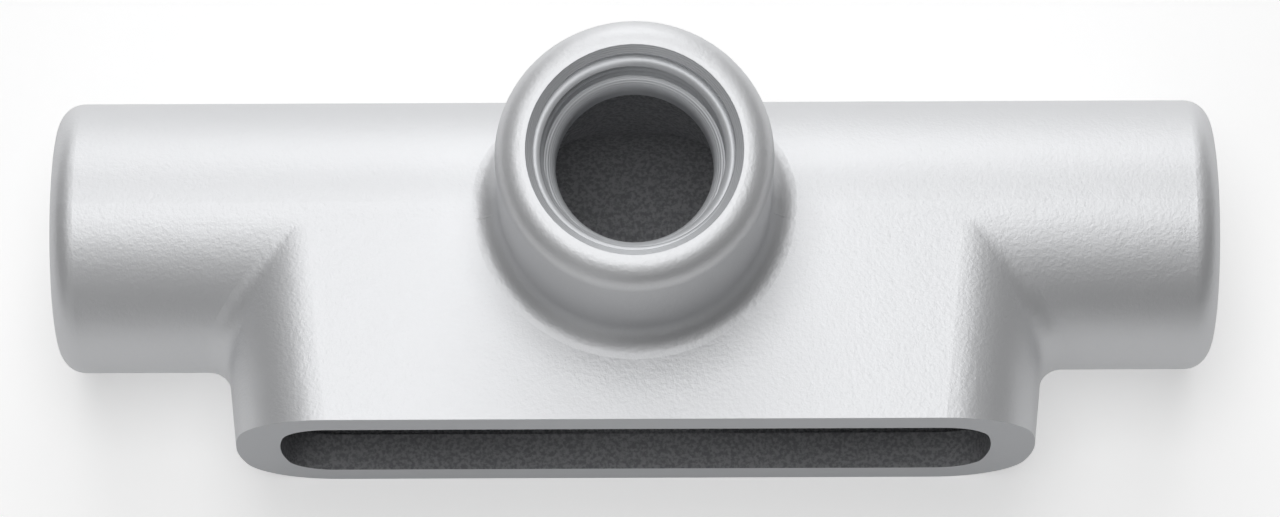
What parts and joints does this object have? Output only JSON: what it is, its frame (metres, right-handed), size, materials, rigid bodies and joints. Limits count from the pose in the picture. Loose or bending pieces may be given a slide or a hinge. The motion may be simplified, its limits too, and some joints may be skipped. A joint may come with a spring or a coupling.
{
  "type": "conduit body",
  "caption": "Cast conduit body of the T type: a straight run with threaded end hubs, a threaded side hub, and a long open mouth with an inward lip for a cover.",
  "frame": {"origin": "middle of the underside of the part's box, as it lies on its side with the side hub upright", "axes": "+X along the run through both end hubs, -Y out of the cover opening, +Z out of the side hub"},
  "size_m": [0.158, 0.0486, 0.0626],
  "materials": {
    "casting": "satin"
  },
  "bodies": {
    "root": {"conduit_body": "casting"}
  },
  "joints": []
}
